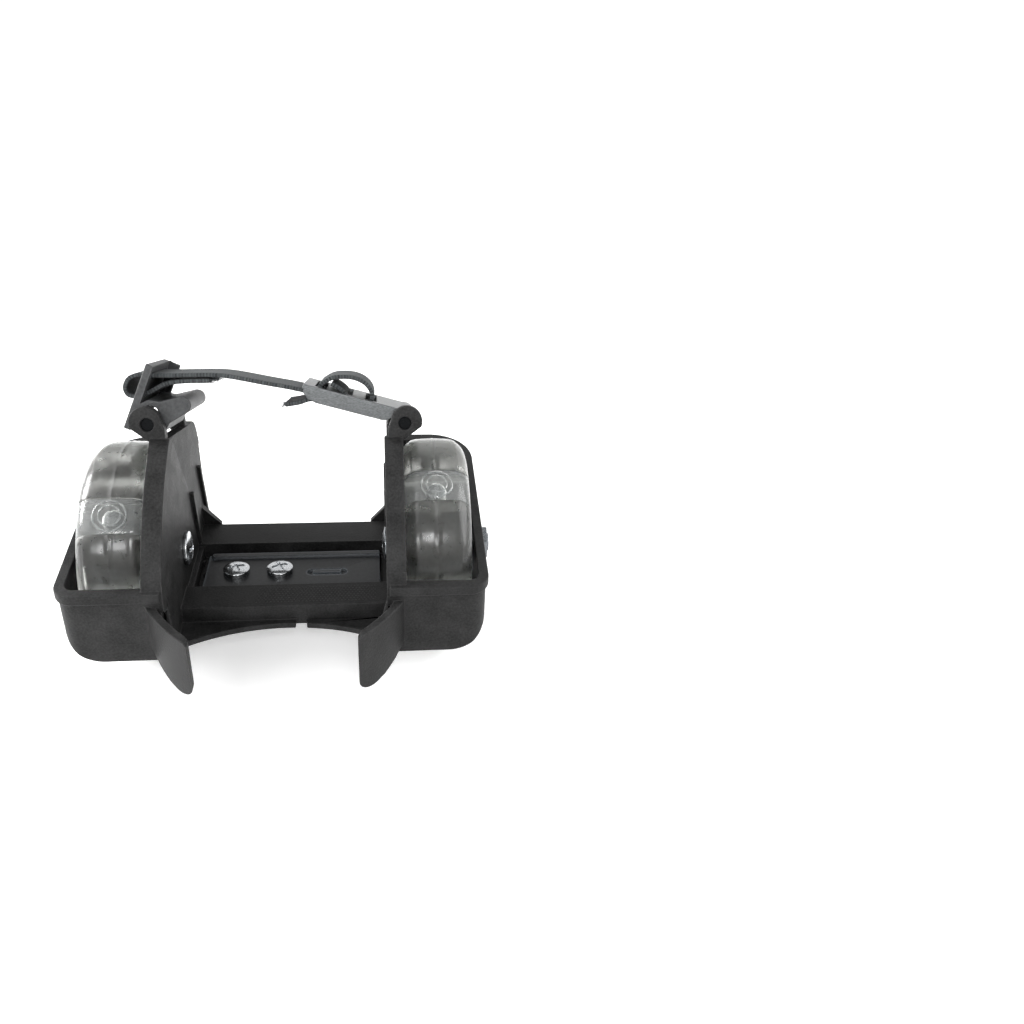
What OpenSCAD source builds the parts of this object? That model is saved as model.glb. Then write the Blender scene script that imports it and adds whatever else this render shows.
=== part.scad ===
// Heel roller skate: two guarded wheel frames joined by a sliding heel platform, with an over-foot strap
// Millimetres, X along the axle, Y toward the toe, Z up, wheels on Z = 0

/* [Wheels] */
// outside radius of a wheel
wheel_r = 35; // [31:0.5:40]
// width of the tread
wheel_w = 21.2; // [18:0.1:26]
// radius of the tread shoulders
tread_round = 6; // [2:0.1:7]
// radius of the plastic core
core_r = 21; // [18:0.5:24]
// how far the faces of the core lie inside the sides of the tread
core_inset = 1.1; // [0.4:0.1:1.2]
// length of one clear light window along the tread
window_l = 11; // [8:0.5:14]
// depth of a light window under the tread
window_d = 8; // [7:0.1:9]
// radius of one bulb
led_r = 3; // [2:0.1:3.4]
// cover over the tip of a bulb
led_cover = 3; // [2:0.1:4]
// turn of the light windows of the left wheel
left_turn = 130.5; // [0:0.5:180]
// turn of the light windows of the right wheel
right_turn = 116; // [0:0.5:180]

/* [Axles] */
// radius of the axle bolt
axle_r = 3; // [2.5:0.1:3.4]
// inner radius of a bearing
sleeve_r = 4; // [3.8:0.1:4.6]
// outer radius of the inner ring of a bearing
ring_r = 5.6; // [5:0.1:6.5]
// outer radius of a bearing
bearing_r = 11; // [10:0.1:13]
// width of a bearing
bearing_w = 7; // [5:0.1:8]
// running gap between the rings of a bearing
ring_gap = 0.05; // [0.02:0.01:0.1]
// thickness of the washers between bearings and walls
washer_t = 2.3; // [2.2:0.1:3.5]
// radius of the head of the axle bolt
bolt_head_r = 5.6; // [4.5:0.1:6.5]

/* [Frames] */
// distance of the inner plates from the middle
plate_x = 32.6; // [30:0.1:38]
// thickness of an inner plate
plate_t = 3; // [2:0.1:4]
// thickness of the outer wall
outer_t = 2.2; // [1.5:0.1:3.5]
// gap between the wheel and the rear and front guard walls
guard_gap = 2.4; // [1.5:0.1:5]
// thickness of the rear guard wall
guard_t = 2.6; // [1.5:0.1:3.5]
// thickness of the front guard wall
front_t = 3.2; // [2:0.1:4]
// bottom of the wheel guard below the axle
guard_low = 13.5; // [10:0.1:16]
// height of the guard rim at the rear above the axle
rim_back = 10.8; // [8:0.1:14]
// height of the guard rim at the front above the axle
rim_front = 19.8; // [14:0.1:24]
// how far the rim bead stands out
rim_out = 0.8; // [0.4:0.1:1.5]
// height of the rim bead
rim_h = 3; // [2:0.1:5]
// radius of the low outer corner of the guard
guard_round = 11; // [6:0.5:14]
// radius of the rear outer corner of the guard
corner_back = 5; // [3:0.1:8]
// radius of the front outer corner of the guard
corner_front = 14; // [8:0.1:14.5]
// height of the upright above the axle
upright_z = 41.8; // [40:0.1:48]
// rear end of the top of the upright behind the axle
upright_y = 4.5; // [2:0.1:8]
// radius of the front corner of the inner plate
front_round = 10; // [6:0.5:14]
// width of the bead along the rear edge of the upright
bead_w = 6; // [4:0.1:8]
// how far the bead stands out on the heel side
bead_in = 0.8; // [0.4:0.1:1.5]
// how far the bead stands out on the wheel side
bead_out = 1; // [0.4:0.1:1]
// width of the lip that stands out over the edge of the wheel
lip_w = 2.6; // [1.5:0.1:3]
// how far the lip stands out on the wheel side
lip_out = 2; // [1:0.1:3]
// height of the ribs on the inner plates
rib_h = 1.2; // [0.6:0.1:1.6]

/* [Heel stops] */
// inside radius of the heel cup
cup_r = 46; // [41:0.5:52]
// distance of the centre of the cup before the rear face of the guard
cup_off = 23.1; // [21:0.1:25]
// thickness of a heel stop
wing_t = 2.6; // [1.8:0.1:4]
// how far a heel stop reaches in from the inner plate
wing_reach = 9.2; // [6:0.1:14]
// top of a heel stop above the axle
wing_top = 6.2; // [4:0.1:7]
// bottom of a heel stop below the axle
wing_low = 15.6; // [13:0.1:17]
// thickness of the fin between plate and heel stop
fin_t = 1.2; // [0.8:0.1:2]

/* [Platform] */
// top of the heel platform below the axle
seat_low = 10.5; // [9.5:0.1:11.5]
// bottom of the platform below the axle
tray_low = 18; // [17:0.1:20]
// rear edge of the platform behind the axle
tray_back = 18.5; // [16:0.1:20]
// front edge of the platform before the axle
tray_front = 31.4; // [30:0.1:35]
// width of the rear bar
near_bar = 12; // [9:0.1:13]
// width of the front bar
far_bar = 12.9; // [10:0.1:15]
// thickness of the tray floor
floor_t = 1.8; // [1.2:0.1:2]
// width of the sliding tongue
tongue_w = 19.8; // [17:0.1:21]
// thickness of the sliding tongue
tongue_t = 2.2; // [1.8:0.1:2.4]
// side gap of the tongue and lock plate
slide_gap = 0.1; // [0.05:0.01:0.2]
// gap under the tongue
lift_gap = 0.05; // [0.03:0.01:0.1]
// thickness of the lock plate
lock_t = 1.65; // [1.2:0.05:1.8]
// gap between the bars and the right inner plate
end_gap = 0.6; // [0.4:0.1:2.5]
// how far the right frame slides out
slide_out = 12; // [6:0.5:14]
// first clamp screw from the middle
screw_a = -18; // [-20:0.5:-16]
// second clamp screw from the middle
screw_b = -3.8; // [-6:0.1:-2]
// radius of a clamp screw
screw_r = 2; // [1.5:0.1:2.2]
// radius of the head of a clamp screw
head_r = 4.3; // [3.6:0.1:5]
// how far the floor stands behind the rear bar at the middle
web_out = 2.2; // [1:0.1:4]
// radius of the curved edge of the floor
arc_r = 60.6; // [50:0.5:70]

/* [Strap] */
// tilt of the strap toward the toe
strap_tilt = 19; // [16:0.5:23]
// width of the webbing
web_w = 20; // [17:0.5:22]
// thickness of the webbing
web_t = 1.5; // [1:0.1:1.6]
// how far the strap pin lies outside the inner plate
pin_out = 2.6; // [2.4:0.1:3.2]
// height of the strap pin over the top of the upright
pin_rise = 4.2; // [4.1:0.1:6]
// radius of the strap pin
pin_r = 2; // [1.5:0.1:2.4]
// width of the clip and adjuster beside the webbing
clip_side = 3; // [2.4:0.1:3.2]
// slope of the adjuster
adj_slope = 15; // [10:0.5:18]
// length of the adjuster from its pin
adj_l = 32.6; // [31.5:0.1:36]
// thickness of the adjuster plate
adj_t = 1.5; // [1:0.1:2]

/* [Hidden] */
fine = 96;
e = 0.01;
// wheel and wall places along the axle
core_w = wheel_w - 2 * core_inset;
plate_out = plate_x + plate_t;
wheel_x = plate_out + washer_t + core_w / 2;
wall_in = wheel_x + core_w / 2 + washer_t;
outer_x = wall_in + outer_t;
// guard places along Y
guard_in = wheel_r + guard_gap;
guard_back = guard_in + guard_t;
guard_front = guard_in + front_t;
// heel stops
cup_x = plate_x - 38.5;
cup_y = cup_off - guard_back;
wing_x = plate_x - wing_reach;
wing_root = plate_out + 3;
fin_x = wing_x + 5.2;
rear_reach = sqrt(pow(cup_r + wing_t, 2) - pow(wing_x - cup_x, 2)) - cup_y;
front_reach = guard_front + rim_out;
axle_y = (rear_reach - front_reach) / 2;
// platform slot along Y and layers along Z
slot_back = near_bar - tray_back;
slot_front = slot_back + tongue_w + 2 * slide_gap;
slot_mid = (slot_back + slot_front) / 2;
tongue_low = floor_t + lift_gap - tray_low;
lock_low = tongue_low + tongue_t + slide_gap;
lock_top = lock_low + lock_t;
tray_end = plate_x - end_gap;
arc_y = -tray_back - web_out - arc_r;
foot_back = -31;
foot_front = tray_front + 2.1;
// gap between the floors of the two halves
split_left = 2.7;
split_right = 6.2;
// strap places, along the pin and along the strap's normal
strap_mid = -0.9;
b0 = strap_mid - web_w / 2 - clip_side;
b1 = strap_mid + web_w / 2 + clip_side;
ear_t = 3.2;
ear_gap = 0.2;
upright_n = upright_z * cos(strap_tilt) - upright_y * sin(strap_tilt);
pin_x = plate_out + pin_out;
pin_n = upright_n + pin_rise;
knuckle_r = pin_r + 1.8;
adj_v = knuckle_r - 0.2 - adj_t;
slot_l = web_t + 1.9;
slots = [11.6, 19.2, 27.4];
run_v = adj_v - web_t / 2 - 0.15;

// Placing: the part's origin is on the ground under the middle, the coordinates inside are the axle's
module place() translate([0, axle_y, wheel_r]) children();
module left() place() mirror([1, 0, 0]) children();
module right() place() children();
module along_x(x0, x1) translate([x0, 0, 0]) rotate([90, 0, 90]) linear_extrude(x1 - x0) children();
module along_y(y0, y1) translate([0, y1, 0]) rotate([90, 0, 0]) linear_extrude(y1 - y0) children();
module box(x0, x1, y0, y1, z0, z1) translate([x0, y0, z0]) cube([x1 - x0, y1 - y0, z1 - z0]);
module post(r, x, y, z0, z1) translate([x, y, z0]) cylinder(r = r, h = z1 - z0, $fn = fine);
module rod(r, x0, x1) translate([x0, 0, 0]) rotate([0, 90, 0]) cylinder(r = r, h = x1 - x0, $fn = fine);
module across(a0, a1) rotate([-strap_tilt, 0, 0]) along_y(a0, a1) children();

// Curves: a four-point curve, a smooth line through points, and the outline of webbing round its centre line
function curve(a, b, c, d, k) = [for (i = [0:k]) let (t = i / k, s = 1 - t)
  s * s * s * a + 3 * s * s * t * b + 3 * s * t * t * c + t * t * t * d];
function smooth(p, k) = [for (i = [0:len(p) - 2]) for (j = [0:k - 1])
    let (a = p[max(i - 1, 0)], b = p[i], c = p[i + 1], d = p[min(i + 2, len(p) - 1)], s = j / k)
    0.5 * (2 * b + (c - a) * s + (2 * a - 5 * b + 4 * c - d) * s * s + (3 * b - a - 3 * c + d) * s * s * s),
  p[len(p) - 1]];
function unit(v) = v / norm(v);
function side_at(p, i) =
  let (n = len(p) - 1,
       d = i == 0 ? unit(p[1] - p[0]) : i == n ? unit(p[n] - p[n - 1]) :
           unit(unit(p[i] - p[i - 1]) + unit(p[i + 1] - p[i])),
       c = i == 0 || i == n ? 1 : d * unit(p[i + 1] - p[i]))
  [-d[1], d[0]] / c;
function ribbon(p) = concat(
  [for (i = [0:len(p) - 1]) p[i] + side_at(p, i) * web_t / 2],
  [for (i = [len(p) - 1:-1:0]) p[i] - side_at(p, i) * web_t / 2]);
function arc(c, r, a0, a1, k) = [for (i = [0:k]) let (t = a0 + (a1 - a0) * i / k) c + r * [cos(t), sin(t)]];
function back(p) = [for (i = [len(p) - 1:-1:0]) p[i]];

// Inner plate with its beaded rear edge, drawn for the right side
function top_z(y) = upright_z - (y + upright_y) * tan(strap_tilt);
corner_c = [guard_front - front_round, top_z(guard_front - front_round) - front_round];
rear_line = concat([[-guard_back, 4]],
  curve([-guard_back, 8], [2 - guard_back, 20], [-20, 36], [-upright_y, upright_z], 12));
plate_line = concat([[-guard_back, -guard_low]], rear_line, arc(corner_c, front_round, 90, 0, 8),
  [[guard_front, -guard_low], [foot_front, -guard_low], [foot_front, -tray_low], [foot_back, -tray_low],
   [foot_back - 2.5, -guard_low]]);
edge_step = [1, -0.4];
function strip(w) = concat(rear_line, back([for (p = rear_line) p + w * edge_step]));
module rib(y_top, y_low, z_top, z_low) along_x(plate_x - rib_h, plate_x + e)
  polygon([[y_top, z_top], [y_top + 2, z_top], [y_low + 2, z_low], [y_low, z_low]]);
module inner_plate() {
  along_x(plate_x, plate_out) polygon(plate_line);
  along_x(plate_x - bead_in, plate_out + bead_out)
    polygon(strip(bead_w));
  along_x(plate_out, plate_out + lip_out) polygon(strip(lip_w));
  rib(16, 19, 11, 0.3 - seat_low);
  rib(guard_front - 8.6, guard_front - 3, 12.4, 0.5 - guard_low);
  along_y(tray_front + 0.3, tray_front + 2.4) polygon([[plate_x + e, 6.9 - seat_low],
    [plate_x - 6.2, 0.1 - seat_low], [plate_x - 6.2, -guard_low], [plate_x + e, -guard_low]]);
}

// Wheel guard: an open tub with a rim bead that rises to the front
module outline(x1, y0, y1, r_back, r_front) {
  translate([plate_x, y0]) square([x1 - plate_x - r_front, y1 - y0]);
  translate([plate_x, y0 + r_back]) square([x1 - plate_x, y1 - y0 - r_back - r_front]);
  translate([plate_x, y0]) square([x1 - plate_x - r_back, r_back]);
  translate([x1 - r_back, y0 + r_back]) circle(r_back, $fn = fine);
  translate([x1 - r_front, y1 - r_front]) circle(r_front, $fn = fine);
}
module tub_plan(grow) outline(outer_x + grow, -guard_back - grow, guard_front + grow,
  corner_back + grow, corner_front + grow);
module well_corner(x, y, r, turn) translate([x, y]) rotate(turn) difference() {
  square(2 * r);
  circle(r, $fn = fine);
}
module well_plan() difference() {
  translate([plate_out, -guard_in]) square([wall_in - plate_out, 2 * guard_in]);
  r_front = corner_front - outer_t;
  r_back = corner_back - outer_t;
  well_corner(wall_in - r_front, guard_in - corner_front + front_t, r_front, 0);
  well_corner(wall_in - r_back, r_back - guard_in, r_back, -90);
}
function rim_z(y) = rim_back + (rim_front - rim_back) * (y + guard_back) / (guard_back + guard_front);
module under_rim(drop) along_x(plate_x, outer_x + 5)
  polygon([[-60, -60], [60, -60], [60, rim_z(60) - drop], [-60, rim_z(-60) - drop]]);
module tub_section() {
  translate([plate_x, -guard_low]) square([outer_x - plate_x - guard_round, 60]);
  translate([plate_x, guard_round - guard_low]) square([outer_x - plate_x, 60]);
  translate([outer_x - guard_round, guard_round - guard_low]) circle(guard_round, $fn = fine);
}
module tub() difference() {
  union() {
    intersection() {
      translate([0, 0, -guard_low]) linear_extrude(60) tub_plan(0);
      under_rim(0);
      along_y(-80, 80) tub_section();
    }
    difference() {
      intersection() {
        translate([0, 0, -guard_low]) linear_extrude(60) tub_plan(rim_out);
        under_rim(0);
      }
      under_rim(rim_h);
    }
  }
  translate([0, 0, -60]) linear_extrude(120) well_plan();
}

// Heel stop: a curved wing with a fin to the plate, and the floor between them
module cup(r, z0, z1) post(r, cup_x, cup_y, z0, z1);
module wing_outline() {
  polygon([[wing_x + 4, -wing_low], [wing_x + 7.4, 1 - wing_low], [wing_x + 10.6, 3.4 - wing_low],
    [wing_root - 2.4, 5.8 - wing_low], [wing_root, 9.6 - wing_low], [wing_root, wing_top],
    [wing_x + 1, wing_top - 1.8], [wing_x, wing_top - 2.8], [wing_x, 4 - wing_low]]);
  translate([wing_x + 4, 4 - wing_low]) circle(4, $fn = 48);
}
module heel_stop() {
  intersection() {
    difference() {
      cup(cup_r + wing_t, -30, 20);
      cup(cup_r, -31, 21);
    }
    along_y(-100, -guard_in - 0.1) wing_outline();
  }
  fin_a = [plate_x + 0.6, 8 - guard_back];
  fin_b = [fin_x, cup_y - sqrt(pow(cup_r, 2) - pow(fin_x - cup_x, 2)) - 0.6];
  fin_l = norm(fin_b - fin_a);
  translate([fin_a[0], fin_a[1], 0]) rotate(atan2(fin_b[1] - fin_a[1], fin_b[0] - fin_a[0]))
    along_y(-fin_t / 2, fin_t / 2) polygon([[0, 1 - tray_low], [0, wing_top - 0.2],
      [0.5 * fin_l, wing_top - 5.2], [fin_l, wing_top - 11.2], [fin_l, 0.6 - wing_low],
      [0.6 * fin_l, 1 - tray_low]]);
}
module floor_arc() post(arc_r, 0, arc_y, -tray_low - 1, floor_t + 1 - tray_low);
module floor_web(x0, x1) difference() {
  box(x0, x1, foot_back - 3, 0.5 - tray_back, -tray_low, floor_t + 0.2 - tray_low);
  floor_arc();
}

// Ears that hold the strap pin on top of the upright
module ear(a0, a1, c, r) across(a0, a1) polygon(concat([[plate_x + 0.2, upright_n - 2],
  [plate_out + 1.6, upright_n - 1.4]], arc(c, r, -20, 150, 16),
  [[plate_x + 0.6, upright_n + 3]]));
module ears() {
  ear(b0 - ear_gap - ear_t, b0 - ear_gap, [pin_x + 0.6, pin_n + 0.6], 4.8);
  ear(b1 + ear_gap, b1 + ear_gap + ear_t, [pin_x, pin_n], 3.3);
}
module shell() difference() {
  union() {
    inner_plate();
    tub();
    heel_stop();
    ears();
  }
  rod(axle_r, 0, outer_x + 20);
  across(b0 - 9, b1 + 9) translate([pin_x, pin_n]) circle(pin_r, $fn = fine);
}
module left_frame() color("#26282a") {
  root = -plate_x - 0.5;
  far_back = tray_front - far_bar;
  left() shell();
  place() difference() {
    union() {
      box(root, tray_end, -tray_back, slot_back, -tray_low, -seat_low);
      box(root, tray_end, far_back, tray_front, -tray_low, -seat_low);
      box(root, tray_end, 0.5 - tray_back, tray_front - 0.5, -tray_low, floor_t - tray_low);
      box(root, 2 - plate_x, slot_back - 0.5, far_back + 0.5, -tray_low, -seat_low - 1.2);
      box(root, tray_end, slot_front, slot_front + 1.2, -tray_low, lock_low - 0.5);
      floor_web(root, split_left);
    }
    for (x = [screw_a, screw_b]) post(screw_r, x, slot_mid, -30, 0);
  }
}
module right_frame() color("#26282a") {
  right() shell();
  right() difference() {
    floor_web(split_right, plate_x + 0.5);
    box(0, plate_x - 0.3, -tray_back - 0.3, 0, -30, 0);
  }
  place() difference() {
    box(3.1 - plate_x, plate_x + 0.5, slot_back + slide_gap, slot_front - slide_gap,
      tongue_low, tongue_low + tongue_t);
    box(-plate_x, screw_b, slot_mid - screw_r - 0.3, slot_mid + screw_r + 0.3, -30, 0);
    post(screw_r + 0.3, screw_b, slot_mid, -30, 0);
  }
}

// Width clamp: lock plate over the tongue, screws through the tray, nuts below
gauge_x = 7;
gauge_l = 9.7;
gauge_y = slot_mid - 1.1;
module gauge_bar(z0, z1) box(gauge_x + 0.2, gauge_x + gauge_l - 0.2, gauge_y - 0.8, gauge_y + 0.8, z0, z1);
module lock_plate() color("#2a2d33") place() difference() {
  y0 = slot_back + slide_gap;
  y1 = slot_front - slide_gap;
  union() {
    box(4.6 - plate_x, tray_end - 2.1, y0, y1, lock_low, lock_top);
    box(6.6 - plate_x, tray_end - 2.4, y1 - 2.5, y1, lock_top - 0.1, lock_top + 1.2);
    post(1.25, 6.6 - plate_x, y1 - 1.25, lock_top - 0.1, lock_top + 1.2);
    gauge_bar(lock_top - 1, lock_top + 0.3);
  }
  difference() {
    union() {
      box(gauge_x, gauge_x + gauge_l, gauge_y - 1.8, gauge_y + 1.8, lock_top - 0.8, lock_top + 0.2);
      post(1.8, gauge_x, gauge_y, lock_top - 0.8, lock_top + 0.2);
      post(1.8, gauge_x + gauge_l, gauge_y, lock_top - 0.8, lock_top + 0.2);
    }
    gauge_bar(lock_top - 2, lock_top + 1);
  }
  for (x = [screw_a, screw_b]) post(screw_r, x, slot_mid, -30, 0);
}
nut_h = 3.2;
dome_h = 1;
module cross_recess(w, l, d) for (a = [0, 90]) rotate(a) translate([-l / 2, -w / 2, -d]) cube([l, w, d + 1]);
module domed_head(r, h) {
  dome_r = (r * r + dome_h * dome_h) / (2 * dome_h);
  cylinder(r = r, h = h, $fn = fine);
  intersection() {
    translate([0, 0, h - 0.2]) cylinder(r = r, h = dome_h + 0.2, $fn = fine);
    translate([0, 0, h + dome_h - dome_r]) sphere(r = dome_r, $fn = fine);
  }
}
module clamp_screw() difference() {
  union() {
    post(screw_r, 0, 0, -tray_low - nut_h - 1.2, lock_top + 0.1);
    translate([0, 0, lock_top]) domed_head(head_r, 1.5);
  }
  translate([0, 0, lock_top + 1.5 + dome_h]) rotate(20) cross_recess(1, 1.25 * head_r, 1.2);
}
module clamp_screws() color("#c9ccd0") place() for (x = [screw_a, screw_b])
  translate([x, slot_mid, 0]) clamp_screw();
module clamp_nuts() color("#b9bcc0") place() for (x = [screw_a, screw_b])
  translate([x, slot_mid, -tray_low - nut_h]) difference() {
    cylinder(r = 2.02 * screw_r, h = nut_h, $fn = 6);
    post(screw_r, 0, 0, -1, nut_h + 1);
  }

// Wheel pieces, drawn about the wheel centre and turned with the windows
module wheel_at(s, turn) place() translate([s * wheel_x, 0, 0]) rotate([turn, 0, 0]) children();
shoulder_r = wheel_r - tread_round;
bead_r = core_r + 4;
module tread() rotate([0, 90, 0]) rotate_extrude($fn = fine) {
  translate([core_r, -core_w / 2]) square([shoulder_r - core_r, core_w]);
  translate([bead_r, -wheel_w / 2]) square([shoulder_r - bead_r, wheel_w]);
  translate([core_r, tread_round - wheel_w / 2]) square([wheel_r - core_r, wheel_w - 2 * tread_round]);
  for (k = [-1, 1]) translate([shoulder_r, k * (wheel_w / 2 - tread_round)])
    circle(tread_round, $fn = 48);
}
module window_blocks() for (k = [0:3]) rotate([k * 90, 0, 0])
  box(-wheel_w, wheel_w, wheel_r - window_d, wheel_r + 2, -window_l / 2, window_l / 2);
led_top = wheel_r - led_cover - led_r;
module led_bodies(g) for (k = [0:3]) rotate([k * 90 - 90, 0, 0]) {
  post(led_r + g, 0, 0, core_r - 2, led_top);
  translate([0, 0, led_top]) sphere(r = led_r + g, $fn = 48);
}
module tyre(s, turn) color("#b9b7ae") wheel_at(s, turn) difference() {
  tread();
  window_blocks();
  led_bodies(0.02);
}
module windows(s, turn) color("#d9dcdc") wheel_at(s, turn) difference() {
  intersection() {
    tread();
    window_blocks();
  }
  led_bodies(0.2);
}
module leds(s, turn) color("#e8e6df") wheel_at(s, turn) led_bodies(0);
module core(s, turn) color("#4a4c4f") wheel_at(s, turn) difference() {
  rod(core_r, -core_w / 2, core_w / 2);
  rod(bearing_r - 1.6, -core_w, core_w);
  rod(bearing_r, -core_w, bearing_w - core_w / 2);
  rod(bearing_r, core_w / 2 - bearing_w, core_w);
  led_bodies(0.02);
}
module at_bearings(s) wheel_at(s, 0) for (k = [-1, 1])
  translate([k * (core_w - bearing_w) / 2, 0, 0]) children();
module bearing_outers(s) color("#b4b7bb") at_bearings(s) difference() {
  rod(bearing_r, -bearing_w / 2, bearing_w / 2);
  rod(bearing_r - 1.7, 0.6 - bearing_w / 2, bearing_w / 2 - 0.6);
  rod(ring_r + ring_gap, -bearing_w, bearing_w);
}
module bearing_inners(s) color("#c4c6c9") at_bearings(s) difference() {
  rod(ring_r, -bearing_w / 2, bearing_w / 2);
  rod(sleeve_r, -bearing_w, bearing_w);
}
module magnet(s) color("#3d3f43") wheel_at(s, 0) difference() {
  rod(bearing_r - 2.6, bearing_w - core_w / 2, core_w / 2 - bearing_w);
  rod(sleeve_r, -core_w, core_w);
}

// Axle pieces, drawn for the right side
module axle_sleeve() color("#aeb1b5") difference() {
  rod(sleeve_r, plate_out, wall_in);
  rod(axle_r, 0, outer_x);
}
module axle_washers() color("#bfc2c6") difference() {
  union() {
    rod(ring_r - 0.2, plate_out, plate_out + washer_t);
    rod(ring_r - 0.2, wall_in - washer_t, wall_in);
  }
  rod(sleeve_r, 0, outer_x);
}
module axle_bolt() color("#c9ccd0") difference() {
  union() {
    rod(axle_r, plate_x - 1, outer_x + 4.4);
    translate([plate_x, 0, 0]) rotate([0, -90, 0]) domed_head(bolt_head_r, 1.2);
  }
  translate([plate_x - 1.2 - dome_h, 0, 0]) rotate([0, -90, 0]) rotate(20)
    cross_recess(1.1, 1.15 * bolt_head_r, 1.3);
}
module axle_nut() color("#b9bcc0") difference() {
  union() {
    rod(1.93 * axle_r, outer_x, outer_x + 1);
    translate([outer_x + 0.9, 0, 0]) rotate([0, 90, 0]) cylinder(r = 1.92 * axle_r, h = 2.9, $fn = 6);
  }
  rod(axle_r, 0, outer_x + 20);
}
module strap_pin() color("#2f3133") across(b0 - ear_gap - ear_t + 1.2, b1 + ear_gap + ear_t - 1.2)
  translate([pin_x, pin_n]) circle(pin_r, $fn = fine);

// Strap pieces, in coordinates along the axle and along the strap's normal
// near the adjuster: u along its channel to the left, v up from its pin
function uv(u, v) = [pin_x - u * cos(adj_slope) + v * sin(adj_slope),
                     pin_n + u * sin(adj_slope) + v * cos(adj_slope)];
// near the clip: from the left pin
function cl(x, n) = [x - pin_x, pin_n + n];
clip_up = unit([7.7, 19.1]);
clip_in = [clip_up[1], -clip_up[0]];
clip_t = 2.2;
function plate_at(s, m) = cl(-7.6, -1.2) + clip_up * s + clip_in * m;
run_line = concat(smooth([uv(9, run_v), uv(14, run_v), uv(20, run_v), uv(adj_l + 1, run_v),
    (uv(adj_l + 1, run_v) + cl(23.6, 13.8)) / 2, cl(23.6, 13.8), cl(17.2, 14.3), cl(10.2, 14.2), cl(4.2, 14.1),
    cl(-0.2, 14.2), cl(-3.4, 14.3), cl(-6, 13.1), cl(-7.1, 10.6), cl(-6.5, 8.6), cl(-4.8, 7.9), cl(-2.5, 8.4),
    cl(-0.2, 9.1), cl(2, 10.3), cl(5, 11.7), cl(10.2, 12.35)], 4), [cl(17.7, 12.5)]);
tail_v = run_v - web_t;
tail_line = smooth([uv(10, tail_v), uv(15, tail_v), uv(20, tail_v), uv(25, tail_v),
  uv(adj_l - 3, tail_v - 0.6), uv(adj_l, tail_v - 2.4), uv(adj_l + 4, tail_v - 4.2)], 4);
module webbing(line) across(strap_mid - web_w / 2, strap_mid + web_w / 2) polygon(ribbon(line));
module strap_run() color("#4a4b4d") place() {
  webbing(run_line);
  webbing(tail_line);
}
tongue_c = cl(9.9, 5.5);
tongue_r = 2.6;
module clip_body() across(b0, b1) polygon(concat(
    [plate_at(0, 0), plate_at(20.6, 0), plate_at(20.6, clip_t), plate_at(8.6, clip_t),
     cl(0.2, 7.2), cl(3.4, 6.6)],
    arc(tongue_c, tongue_r, 112, -68, 12),
    [cl(5.8, 0), cl(4.8, -2.2), cl(3.2, -2), cl(3.2, 3.2), cl(2.2, 4.8), cl(0.2, 5.4),
     plate_at(6.2, clip_t), plate_at(0, clip_t)]));
module strap_clip() color("#202224") place() difference() {
  union() {
    clip_body();
    across(b1 - 1.6, b1) polygon([plate_at(9, e), plate_at(20.6 - e, e), plate_at(20.6 - e, 5.6), plate_at(9, 5.6)]);
  }
  across(strap_mid - web_w / 2 - 0.3, strap_mid + web_w / 2 + 0.3) polygon(ribbon(run_line));
}
loop_v = adj_v + 0.3;
loop_line = smooth([uv(slots[2], loop_v), uv(slots[2] + 0.2, loop_v + 1.6), uv(slots[2] - 0.8, loop_v + 3.1),
  uv(slots[2] - 3.4, loop_v + 5.2), uv(slots[1] - 0.3, loop_v + 6.5), uv(slots[0] + 3.4, loop_v + 6),
  uv(slots[0] + 0.8, loop_v + 4.2), uv(slots[0] - 0.2, loop_v + 1.9), uv(slots[0], loop_v)], 4);
inner_line = smooth([uv(slots[1], loop_v), uv(slots[1] + 0.2, loop_v + 1.5), uv(slots[1] + 1.6, loop_v + 2.5),
  uv(slots[1] + 3.8, loop_v + 2.7), uv(slots[1] + 5.4, loop_v + 2.3)], 4);
module strap_loop() color("#4a4b4d") place() {
  webbing(loop_line);
  webbing(inner_line);
}
module adjuster() color("#a9adae") place() difference() {
  union() {
    across(b0, b1) translate([pin_x, pin_n]) circle(knuckle_r, $fn = fine);
    across(b0, b1) polygon([uv(0, adj_v), uv(0, adj_v + adj_t), uv(adj_l, adj_v + adj_t), uv(adj_l, adj_v)]);
    for (b = [[b0, b0 + 1.5], [b1 - 1.5, b1]]) across(b[0], b[1])
      polygon([uv(1.6, adj_v + adj_t / 2), uv(3, 1.6), uv(5.6, -0.9), uv(7, -1.2), uv(adj_l - 5, -1.2),
        uv(adj_l - 2, -0.4), uv(adj_l - 0.4, 1.2), uv(adj_l - 0.4, adj_v + adj_t / 2)]);
  }
  across(b0 - 1, b1 + 1) translate([pin_x, pin_n]) circle(pin_r + 0.05, $fn = fine);
  across(b0 - 1, b1 + 1) polygon([[pin_x - 0.6, pin_n - 0.4], [pin_x - 2, pin_n - 8], [pin_x - 9, pin_n - 8],
    [pin_x - 7, pin_n - 1.4], [pin_x - 3, pin_n - 1.4]]);
  for (u = slots) across(strap_mid - web_w / 2 - 0.4, strap_mid + web_w / 2 + 0.4)
    polygon([uv(u - slot_l / 2, adj_v - 1), uv(u + slot_l / 2, adj_v - 1),
      uv(u + slot_l / 2, adj_v + adj_t + 1), uv(u - slot_l / 2, adj_v + adj_t + 1)]);
}

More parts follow.
